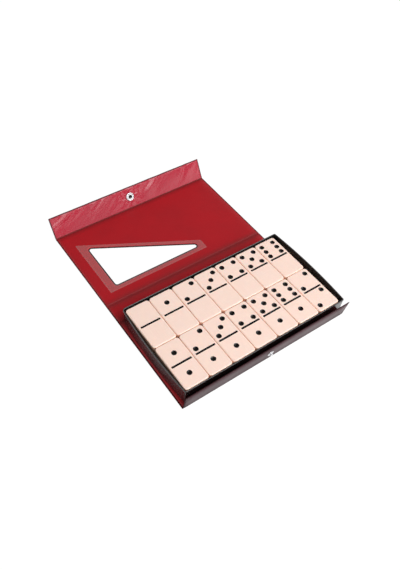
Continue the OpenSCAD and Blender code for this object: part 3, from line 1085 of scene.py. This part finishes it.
def soft_waves(x, y, away):
    """Height of the flap's waves, with folds that slant across it and lie closer at its left."""
    w = settings().wallet
    free = ramp(y, 1.5 * w.web, 0.7 * flap_length())
    calm = ramp(away, 5 * MM, 7 * MM)
    slow = sheet_noise(x, y, length=34 * MM, width=26 * MM, layer=3.1)
    bend = sheet_noise(x, y, length=24 * MM, width=20 * MM, layer=7.7)
    rightness = ramp(x, -50 * MM, 120 * MM)
    spacing, slant = (5.5 + 7 * rightness) * MM, 9 * MM
    across = y / spacing - x / slant + 0.9 * bend
    folds = sheet_noise(across, x, length=1.0, width=40 * MM, layer=1.3)
    return w.wrinkle * free * calm * (0.7 * slow + 1.7 * folds)


def snap_puckers(x, y, away):
    """Height of the puckers that run out from the snap, from its own middle."""
    count, unevenness, crest, reach = 9, 1.5, 5 * MM, 4.5 * MM
    around = math.atan2(y, x)
    spokes = math.cos(count * around + unevenness * math.sin(2 * around))
    fading = ramp(away, 4.2 * MM, 2 * MM) * math.exp(-(away - crest) / reach)
    return settings().wallet.pucker * spokes * fading


def flap_wave(x, y):
    """Height of the flap's soft waves and of the puckers round its snap, along its normal."""
    beside = y - socket_reach()
    away = math.hypot(x, beside)
    near_crease = ramp(y, 1.2 * settings().wallet.web, 3 * MM)
    return soft_waves(x, y, away) + snap_puckers(x, beside, away) * near_crease


def flap_grid(inset):
    """Flat grid of a flap sheet, fine enough for its puckers."""
    web, side = settings().wallet.web, half_width()
    across = edge_steps("free", inset)
    xs = [x - side for x in graded(2 * side, across, across, 1.5 * MM)]
    ys = graded(flap_length(), [web, web * 1.4, web * 2], across, 1.0 * MM)
    points, faces = grid(xs, ys)
    reach, hole = socket_reach(), settings().snap.hole
    open_points = {i for i, (x, y) in enumerate(points) if math.hypot(x, y - reach) < hole}
    return points, [f for f in faces if not open_points.intersection(f)]


def flap_sheet(lining):
    """One vinyl sheet of the flap, which has no board and so waves and puckers."""
    w = settings().wallet
    inset = w.lining_inset if lining else 0.0
    side, length = half_width(), flap_length()
    groove_share = 0.7

    def free_edge(x, y):
        return min(side - abs(x), length - y)

    def outer(x, y):
        free = free_edge(x, y)
        return w.sheet - weld_groove(free) * groove_share - rounded_edge(free - inset)

    # The dark line along the flap's free edges, partly painted shade
    def dark_edges_and_shade(x, y):
        return edge_line(free_edge(x, y))

    faces = ((lambda x, y: flap_wave(x, y) + outer(x, y), flap_wave) if lining else
             (flap_wave, lambda x, y: flap_wave(x, y) - outer(x, y)))
    return vinyl_sheet("flap", "flap", flap_place(), lining, flap_grid(inset), faces, dark_edges_and_shade,
                       red="Flap Vinyl")


# The tray

def rounded_ring(half_x, half_y, radius, soft, bow):
    """One ring round the tray: round corners, the back left one softer, and the two short sides
    bowed outwards."""
    corner_steps, side_steps = 10, 24
    x, y = half_x - radius, half_y - radius

    def side(sign, start, end):
        places = [2 * i / side_steps - 1 for i in range(1, side_steps)]
        return [(sign * (half_x + bow * (1 - t * t)), start + (end - start) * (t + 1) / 2)
                for t in places]

    return (arc_points((x, -y), radius, -90, 90, corner_steps) + side(1, -y, y)
            + arc_points((x, y), radius, 0, 90, corner_steps)
            + arc_points((soft - half_x, half_y - soft), soft, 90, 90, corner_steps)
            + side(-1, half_y - soft, -y)
            + arc_points((-x, -y), radius, 180, 90, corner_steps))


def tray_stations(base, rim):
    """Height and inset from the outer wall face of each ring, from under the floor to inside."""
    t = settings().tray
    steps = 6
    quarter = [math.pi / 2 * i / steps for i in range(steps + 1)]
    half = [math.pi / 2 * i / steps for i in range(2 * steps + 1)]
    foot = t.foot_radius + t.floor / 2
    bead = (t.wall + t.lip) / 2
    inner = base + t.floor
    lip = rim - t.lip_height
    flat_ring, shoulder = 0.5 * MM, 0.3 * MM
    neck = [(lip - t.lip * below, -t.lip * out)
            for below, out in ((1.6, 0.0), (0.8, 0.25), (0.3, 0.8), (0.0, 1.0))]
    outside = [(base + foot * (1 - math.cos(a)), foot * (1 - math.sin(a))) for a in quarter]
    top = [(rim - bead + bead * math.sin(a), bead - t.lip - bead * math.cos(a)) for a in half]
    inside = [(inner + t.foot_radius * (1 - math.sin(a)),
               t.wall + t.foot_radius * (1 - math.cos(a))) for a in quarter]
    return [(base, foot + flat_ring), *outside, *neck, (rim - bead - 0.1 * MM, -t.lip), *top,
            (rim - bead - 0.15 * MM, t.wall), (inner + t.foot_radius + shoulder, t.wall), *inside,
            (inner, t.wall + t.foot_radius + flat_ring)]


def build_tray():
    """The tray as one lofted shell: drafted walls, bowed sides and a rolled rim."""
    t = settings().tray
    low, high = node_box("tray")
    middle = node_middle("tray")
    over = t.draft + t.lip
    floor_x = (high.x - low.x) / 2 - over - t.bow
    floor_y = (high.y - low.y) / 2 - over
    least_radius = 0.6 * MM
    points, edge = [], []
    stations = tray_stations(low.z, high.z)
    for z, inset in stations:
        up = (z - low.z) / (high.z - low.z)
        out = t.draft * up - inset
        radius = max(t.corner_radius - inset, least_radius)
        soft = max(t.soft_corner - inset, least_radius)
        bow = t.foot_bow + (t.bow - t.foot_bow) * up
        ring = rounded_ring(floor_x + out, floor_y + out, radius, soft, bow)
        points += [(middle.x + x, middle.y + y, z) for x, y in ring]
        # The top of the rim carries the painted highlight
        edge += [ramp(z, high.z - 0.5 * MM, 0.4 * MM)] * len(ring)
    count = len(points) // len(stations)
    last = len(points) - count
    faces = [*loft_faces(len(stations), count), tuple(reversed(range(count))),
             tuple(range(last, last + count))]
    piece = new_piece("moulded_tray", points, faces, ["Tray Plastic"], edge=edge)
    return dress(piece, "bottom", "tray_plastic", "tray")


# The dominoes

def pip_places(count):
    """Places of a half's pips, as steps from its middle."""
    places = []
    if count % 2:
        places.append((0, 0))
    if count > 1:
        places += [(1, 1), (-1, -1)]
    if count > 3:
        places += [(1, -1), (-1, 1)]
    if count == 6:
        places += [(1, 0), (-1, 0)]
    return places


def rectangle_loop(width, length, radius, count):
    """A rounded rectangle round the origin, anticlockwise."""
    x, y = width / 2 - radius, length / 2 - radius
    corners = (((x, -y), -90), ((x, y), 0), ((-x, y), 90), ((-x, -y), 180))
    return [p for corner, start in corners for p in arc_points(corner, radius, start, 90, count)]


# Places of a domino's two materials
RESIN, PAINT = 0, 1


class TileMesh:
    """Points and faces of one domino, gathered part by part."""

    def __init__(self):
        self.points, self.faces, self.paint, self.edge = [], [], [], []

    def add_ring(self, loop, z, edge):
        """A ring of points at one height, and its first index."""
        first = len(self.points)
        self.points += [(x, y, z) for x, y in loop]
        self.edge += [edge] * len(loop)
        return first

    def add_face(self, corners, finish):
        """A face over known points."""
        self.faces.append(tuple(corners))
        self.paint.append(finish)

    def join(self, first, second, count, finish):
        """Quads between two rings."""
        for i in range(count):
            j = (i + 1) % count
            self.add_face((first + i, first + j, second + j, second + i), finish)

    def sink(self, loops_and_depths, top, painted_from):
        """A hollow: rings that go down from the face, closed by one face at its bottom."""
        rings = [self.add_ring(loop, top - depth, 0.0) for loop, depth in loops_and_depths]
        count = len(loops_and_depths[0][0])
        for k, (a, b) in enumerate(zip(rings, rings[1:])):
            self.join(a, b, count, PAINT if k >= painted_from else RESIN)
        self.add_face(range(rings[-1], rings[-1] + count), PAINT)
        return rings[0]


def pip_rings(centre):
    """Rings of a pip's hollow, from a soft lip down its bowl."""
    d = settings().domino
    radius = d.pip_diameter / 2
    bowl = (radius ** 2 + d.pip_depth ** 2) / (2 * d.pip_depth)
    segments = 28

    def circle(r):
        return arc_points(centre, r, 0, 360 - 360 / segments, segments - 1)

    rings = [(circle(radius + 0.45 * MM), 0.0), (circle(radius + 0.1 * MM), 0.0),
             (circle(radius + 0.02 * MM), 0.035 * MM)]
    for share in (0.985, 0.88, 0.72, 0.54, 0.34, 0.14):
        r = radius * share
        rings.append((circle(r), d.pip_depth - bowl + math.sqrt(bowl ** 2 - r ** 2)))
    return rings


def bar_rings():
    """Rings of the dividing bar's groove."""
    d = settings().domino
    sizes = [(0.4, 0.0), (0.08, 0.0), (0.0, 0.04), (-0.06, 0.7), (-0.25, 1.0)]
    return [(rectangle_loop(d.bar_length + 2 * g * MM, d.bar_width + 2 * g * MM,
                            d.bar_width / 3 + g * MM * 0.5, 5), d.bar_depth * share)
            for g, share in sizes]


def tile_rings(height):
    """Inset, height and painted gap shade of each ring round a domino, from its underside to its face."""
    radius = settings().domino.edge_radius
    steps = 7
    rolls = [(radius * (1 - math.sin(a)), radius * (1 - math.cos(a)), math.sin(a))
             for a in (math.pi / 2 * i / steps for i in range(steps + 1))]
    # The sides carry the painted gap shade, which fades out over the top roll to none on the face
    lower = [(inset, z, 1.0) for inset, z, _ in rolls]
    upper = [(inset, height - z, ramp(out, 0.7, 0.3)) for inset, z, out in reversed(rolls)]
    return [*lower, *upper, (radius + 0.35 * MM, height, 0.0)]


def build_tile(node):
    """One domino of the set, standing for its node."""
    d = settings().domino
    far, near = (int(n) for n in node.split("_")[1:])
    under, middle = node_box(node)[0].z, node_middle(node)
    width, length, height = node_size(node)
    mesh = TileMesh()
    starts = []
    for inset, z, edge in tile_rings(height):
        loop = rectangle_loop(width - 2 * inset, length - 2 * inset, d.corner_radius - inset, 8)
        starts.append(mesh.add_ring(loop, z, edge))
    count = len(loop)
    for a, b in zip(starts, starts[1:]):
        mesh.join(a, b, count, RESIN)
    mesh.add_face(reversed(range(starts[0], starts[0] + count)), RESIN)
    hollows = [bar_rings()]
    for number, sign in ((far, 1), (near, -1)):
        for x, y in pip_places(number):
            hollows.append(pip_rings((x * d.pip_step, sign * d.pip_field + y * d.pip_step)))
    lips = [(rings[0][0], mesh.sink(rings, height, painted_from=2)) for rings in hollows]
    face_top(mesh, loop, starts[-1], lips)
    points = [(middle.x + x, middle.y + y, under + z) for x, y, z in mesh.points]
    piece = new_piece(f"domino_{far}_{near}_resin", points, mesh.faces,
                      ["Domino Resin", "Pip Paint"], face_materials=mesh.paint, edge=mesh.edge,
                      sharp=50.0)
    return dress(piece, f"domino_{far}_{near}", "domino_resin", node)


def face_top(mesh, outline, outline_start, lips):
    """The flat face between a domino's rolled edge and its hollows, on the rings' own points."""
    known = {flat_key(p, 6): first + i for loop, first in [(outline, outline_start), *lips]
             for i, p in enumerate(loop)}
    flat, faces = triangulated(outline, [], [loop for loop, _ in lips], [])
    keys = [flat_key(p, 6) for p in flat]
    if any(key not in known for key in keys):
        raise RuntimeError("the face of a domino has a point that its rings don't have")
    for f in faces:
        mesh.add_face((known[keys[i]] for i in f), RESIN)


# The stage

def build_camera():
    """The camera that takes the whole open wallet from the front left."""
    s = settings().stage
    camera = new_object("Camera", bpy.data.cameras.new("Camera"))
    bpy.context.scene.camera = camera
    camera.data.lens = s.lens
    camera.data.sensor_width = 36.0
    camera.data.clip_start = 0.01
    camera.data.clip_end = 100.0
    flat = math.cos(s.elevation)
    ahead = Vector((math.sin(s.azimuth) * flat, math.cos(s.azimuth) * flat, -math.sin(s.elevation)))
    turn = ahead.to_track_quat("-Z", "Y").to_matrix().to_4x4()
    camera.matrix_world = (Matrix.Translation(s.camera_place) @ turn
                           @ Matrix.Rotation(s.roll, 4, "Z"))


# Each lamp's name, place, width and height
LAMPS = (
    ("key", (0.42, -0.88, 1.12), 1.2, 1.2),
    ("fill", (1.1, -0.1, 0.9), 0.8, 0.8),
    ("strip", (0.62, -1.42, 0.28), 1.1, 0.2),
)


def build_lamp(name, place, width, height):
    """A soft rectangular light that faces the wallet, with its power from the settings."""
    data = bpy.data.lights.new(f"{name}_light", "AREA")
    data.shape = "RECTANGLE"
    data.size = width
    data.size_y = height
    data.energy = getattr(settings().stage, f"{name}_power")
    lamp = new_object(f"{name}_light", data)
    lamp.location = place
    target = Vector((0.0, 0.05, 0.0))
    lamp.rotation_euler = (target - Vector(place)).to_track_quat("-Z", "Y").to_euler()
    lamp.visible_camera = False


def floor_material():
    """Pale floor that shows white to the camera and in gloss, and keeps a faint shadow."""
    made = bpy.data.materials.new("Studio Floor")
    tree = emptied_tree(made)
    path = add_node(tree, "ShaderNodeLightPath").outputs
    seen = computed(tree, "MAXIMUM", path["Is Camera Ray"], path["Is Glossy Ray"])
    seen = computed(tree, "MAXIMUM", seen, path["Is Transmission Ray"])
    glow_share, glow, paleness = 0.93, 1.05, 0.9
    share = computed(tree, "MULTIPLY", seen, glow_share)
    diffuse = add_node(tree, "ShaderNodeBsdfDiffuse", {"Color": opaque([paleness] * 3)})
    white = add_node(tree, "ShaderNodeEmission", {"Color": opaque([1.0] * 3), "Strength": glow})
    both = add_node(tree, "ShaderNodeMixShader",
                    {0: share, 1: diffuse.outputs["BSDF"], 2: white.outputs["Emission"]})
    add_node(tree, "ShaderNodeOutputMaterial", {"Surface": both.outputs["Shader"]})
    return made


def build_floor():
    """The floor, a hair below the wallet."""
    half = 12.0
    under = -0.05 * MM
    mesh = bpy.data.meshes.new("studio_floor")
    mesh.from_pydata([(-half, -half, under), (half, -half, under), (half, half, under),
                      (-half, half, under)], [], [(0, 1, 2, 3)])
    mesh.materials.append(floor_material())
    floor = new_object("studio_floor", mesh)


# Directions in which the surround is dimmed, where the dimming begins and is full as the cosine
# of the angle from it, and the share that is left
OVER_LID = ((0.40, 0.50, 0.77), 0.45, 0.9, 0.25)
LOW_IN_FRONT = ((0.40, -0.91, 0.10), 0.7, 0.95, 0.3)


def build_world():
    """Soft surround: white to the camera, else bright at the horizon and dimmer overhead, over
    the lid and low in front."""
    world = bpy.data.worlds.new("Soft Surround")
    bpy.context.scene.world = world
    tree = emptied_tree(world)
    direction = add_node(tree, "ShaderNodeTexCoord").outputs["Generated"]
    parts = add_node(tree, "ShaderNodeSeparateXYZ", {"Vector": direction})
    level = remapped(tree, parts.outputs["Z"], 0.3, 0.85, 1.0, 0.25)
    for towards, start, full, share in (OVER_LID, LOW_IN_FRONT):
        nearness = vector_computed(tree, "DOT_PRODUCT", direction, towards, result="Value")
        level = computed(tree, "MULTIPLY", level, remapped(tree, nearness, start, full, 1.0, share))
    seen = add_node(tree, "ShaderNodeLightPath").outputs["Is Camera Ray"]
    sky = add_node(tree, "ShaderNodeBackground",
                   {"Color": opaque([1.0] * 3), "Strength": computed(tree, "MAXIMUM", level, seen)})
    add_node(tree, "ShaderNodeOutputWorld", {"Surface": sky.outputs["Background"]})


# Operators, one for each piece or group of like pieces

class DOMINO_OT_stage(bpy.types.Operator):
    """Adds the camera, the floor and the soft light"""

    bl_idname = "domino.stage"
    bl_label = "Add Stage"

    def execute(self, context):
        context.scene.view_settings.view_transform = "Standard"
        build_camera()
        build_floor()
        build_world()
        for lamp in LAMPS:
            build_lamp(*lamp)
        return {"FINISHED"}


class DOMINO_OT_panels(bpy.types.Operator):
    """Dresses the four stiff panels in black and red vinyl"""

    bl_idname = "domino.panels"
    bl_label = "Add Panels"

    def execute(self, context):
        for panel in panels():
            panel_sheet(panel, lining=False)
            panel_sheet(panel, lining=True)
        lid_board(lid_panel())
        for node in ("bottom_board", "front_board", "spine_board"):
            refinish(node, "Stiffener Board")
        return {"FINISHED"}


class DOMINO_OT_creases(bpy.types.Operator):
    """Adds the folded webs that join the panels and the flap"""

    bl_idname = "domino.creases"
    bl_label = "Add Creases"

    def execute(self, context):
        for crease in crease_list():
            crease_strip(*crease, lining=False)
            crease_strip(*crease, lining=True)
        return {"FINISHED"}


class DOMINO_OT_flap(bpy.types.Operator):
    """Adds the soft flap with its waves and puckers"""

    bl_idname = "domino.flap"
    bl_label = "Add Flap"

    def execute(self, context):
        flap_sheet(lining=False)
        flap_sheet(lining=True)
        return {"FINISHED"}


class DOMINO_OT_window(bpy.types.Operator):
    """Adds the clear film over the window"""

    bl_idname = "domino.window"
    bl_label = "Add Window Film"

    def execute(self, context):
        window_film(lid_panel())
        return {"FINISHED"}


class DOMINO_OT_snap(bpy.types.Operator):
    """Gives the snap's four pieces their nickel plate"""

    bl_idname = "domino.snap"
    bl_label = "Finish Snap"

    def execute(self, context):
        for node in ("snap_cap", "snap_socket", "snap_stud", "snap_stud_back"):
            refinish(node, "Nickel Plate")
        return {"FINISHED"}


class DOMINO_OT_tray(bpy.types.Operator):
    """Adds the moulded tray"""

    bl_idname = "domino.tray"
    bl_label = "Add Tray"

    def execute(self, context):
        build_tray()
        return {"FINISHED"}


class DOMINO_OT_tiles(bpy.types.Operator):
    """Adds the twenty-eight dominoes"""

    bl_idname = "domino.tiles"
    bl_label = "Add Dominoes"

    def execute(self, context):
        for node in TILE_NODES:
            build_tile(node)
        return {"FINISHED"}


class DOMINO_PT_sidebar(bpy.types.Panel):
    """Lists the steps that build the wallet"""

    bl_idname = "DOMINO_PT_sidebar"
    bl_label = "Domino Wallet"
    bl_space_type = "VIEW_3D"
    bl_region_type = "UI"
    bl_category = "Dominoes"

    def draw(self, context):
        for operator in OPERATORS:
            self.layout.operator(operator.bl_idname)


GROUPS = (DominoSettings, TraySettings, WalletSettings, WindowSettings, SnapSettings, StageSettings,
          CaseSettings)
OPERATORS = (DOMINO_OT_stage, DOMINO_OT_panels, DOMINO_OT_creases, DOMINO_OT_flap,
             DOMINO_OT_window, DOMINO_OT_snap, DOMINO_OT_tray, DOMINO_OT_tiles)
CLASSES = (*GROUPS, *OPERATORS, DOMINO_PT_sidebar)


def register():
    """Makes the settings, the steps and the sidebar known."""
    for cls in CLASSES:
        bpy.utils.register_class(cls)
    bpy.types.Scene.domino_case = PointerProperty(type=CaseSettings)


def unregister():
    """Takes them away again."""
    del bpy.types.Scene.domino_case
    for cls in reversed(CLASSES):
        bpy.utils.unregister_class(cls)


def main():
    """Runs every step in order."""
    register()
    for operator in OPERATORS:
        group, name = operator.bl_idname.split(".")
        getattr(getattr(bpy.ops, group), name)()


if __name__ == "__main__":
    main()
